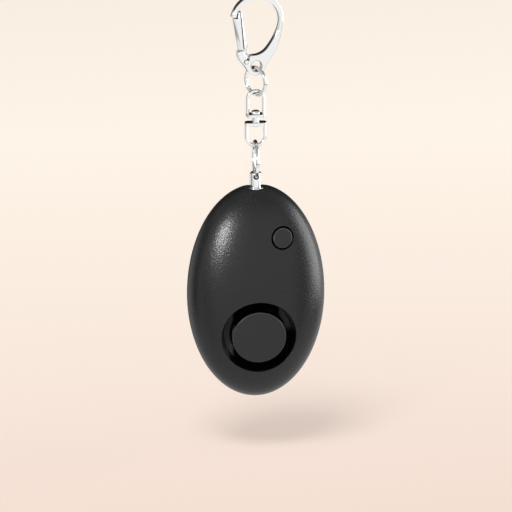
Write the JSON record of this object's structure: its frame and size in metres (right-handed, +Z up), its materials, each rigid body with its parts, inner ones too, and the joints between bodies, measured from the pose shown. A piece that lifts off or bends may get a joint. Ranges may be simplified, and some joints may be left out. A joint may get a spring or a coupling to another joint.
{
  "type": "personal emergency buzzer",
  "caption": "Egg-shaped black personal alarm with a round sound outlet and a push button, hung by its pull pin from a chrome swivel chain and a gated snap hook",
  "frame": {"origin": "the inner top of the snap hook's bow, the point that bears on what carries the buzzer", "axes": "+Z up along the hanging chain, -Y towards the side with the sound outlet and the button, +X to the right seen from that side"},
  "size_m": [0.04, 0.0224, 0.1203],
  "materials": {
    "chain_chrome": "bright chrome plate on a die casting and on bent wire",
    "pin_chrome": "chrome plate",
    "spring_steel": "plain spring steel",
    "pin_plastic": "black moulded plastic, insulating",
    "shell_plastic": "black plastic with a soft-touch coat and a very fine grain",
    "cap_plastic": "black plastic, satin",
    "button_plastic": "black plastic, satin",
    "sounder_brass": "brass sheet, blackened on the side that faces the outlet",
    "sounder_ceramic": "silvered ceramic disc",
    "board_laminate": "green laminate",
    "ferrite": "dark sintered ferrite",
    "copper_wire": "enamelled copper winding",
    "chip_plastic": "black moulding",
    "cell_steel": "nickel-plated steel can",
    "lead_jacket": "red lead jacket"
  },
  "bodies": {
    "hook": {"snap_hook": "chain_chrome", "gate_rivet": "chain_chrome", "gate_spring": "spring_steel"},
    "gate": {"hook_gate": "chain_chrome"},
    "upper_ring": {"upper_jump_ring": "chain_chrome"},
    "swivel_top": {"swivel_top_loop": "chain_chrome"},
    "swivel_bottom": {"swivel_bottom_loop": "chain_chrome", "swivel_rivet": "chain_chrome"},
    "lower_ring": {"lower_jump_ring": "chain_chrome"},
    "pull_pin": {"pull_pin_head": "pin_chrome", "pull_pin_shank": "pin_plastic"},
    "casing": {"front_shell": "shell_plastic", "rear_shell": "shell_plastic", "case_screws": "spring_steel", "sound_cap": "cap_plastic", "piezo_plate": "sounder_brass", "piezo_ceramic": "sounder_ceramic", "circuit_board": "board_laminate", "coil_core": "ferrite", "coil_winding": "copper_wire", "driver_chip": "chip_plastic", "tact_switch_body": "chip_plastic", "button_cell_1": "cell_steel", "button_cell_2": "cell_steel", "button_cell_3": "cell_steel", "cell_contact_plate": "spring_steel", "cell_contact_spring": "spring_steel", "cell_spring_plate": "spring_steel", "fixed_contact": "spring_steel", "piezo_leads": "lead_jacket"},
    "button": {"push_button": "button_plastic", "tact_switch_plunger": "chip_plastic"},
    "blade": {"contact_blade": "spring_steel"}
  },
  "joints": [
    {"name": "gate_pivot", "type": "hinge", "parent": "hook", "child": "gate", "pos_m": [-0.00303, -0.00059, -0.01813], "axis": [-0.1908, 0.9816, 0], "range_deg": [0, 30], "stiffness_Nm_per_rad": 0.03, "springref_deg": -11.46},
    {"name": "upper_ring_swing", "type": "hinge", "parent": "hook", "child": "upper_ring", "pos_m": [0, 0, -0.0203], "axis": [0.6088, -0.7934, 0], "range_deg": [-35, 35]},
    {"name": "swivel_swing", "type": "hinge", "parent": "upper_ring", "child": "swivel_top", "pos_m": [0, 0, -0.02719], "axis": [1, 0, 0], "range_deg": [-35, 35]},
    {"name": "swivel_spin", "type": "hinge", "parent": "swivel_top", "child": "swivel_bottom", "pos_m": [0, 0, -0.03489], "axis": [0, 0, 1], "continuous": true},
    {"name": "lower_ring_swing", "type": "hinge", "parent": "swivel_bottom", "child": "lower_ring", "pos_m": [0, 0, -0.04349], "axis": [1, 0, 0], "range_deg": [-35, 35]},
    {"name": "pin_swing", "type": "hinge", "parent": "lower_ring", "child": "pull_pin", "pos_m": [0, 0, -0.05269], "axis": [0, 1, 0], "range_deg": [-35, 35]},
    {"name": "pin_pull", "type": "slide", "parent": "pull_pin", "child": "casing", "axis": [0, 0, -1], "range_m": [0, 0.014]},
    {"name": "button_press", "type": "slide", "parent": "casing", "child": "button", "axis": [0, 1, 0], "range_m": [0, 0.0003], "stiffness_N_per_m": 5000},
    {"name": "blade_close", "type": "hinge", "parent": "casing", "child": "blade", "pos_m": [-0.00085, 0.00045, -0.07314], "axis": [0, 1, 0], "range_deg": [0, 14.2]}
  ],
  "couplings": [
    {"joint": "blade_close", "follows": "pin_pull", "rad_per_m": 17.453}
  ]
}
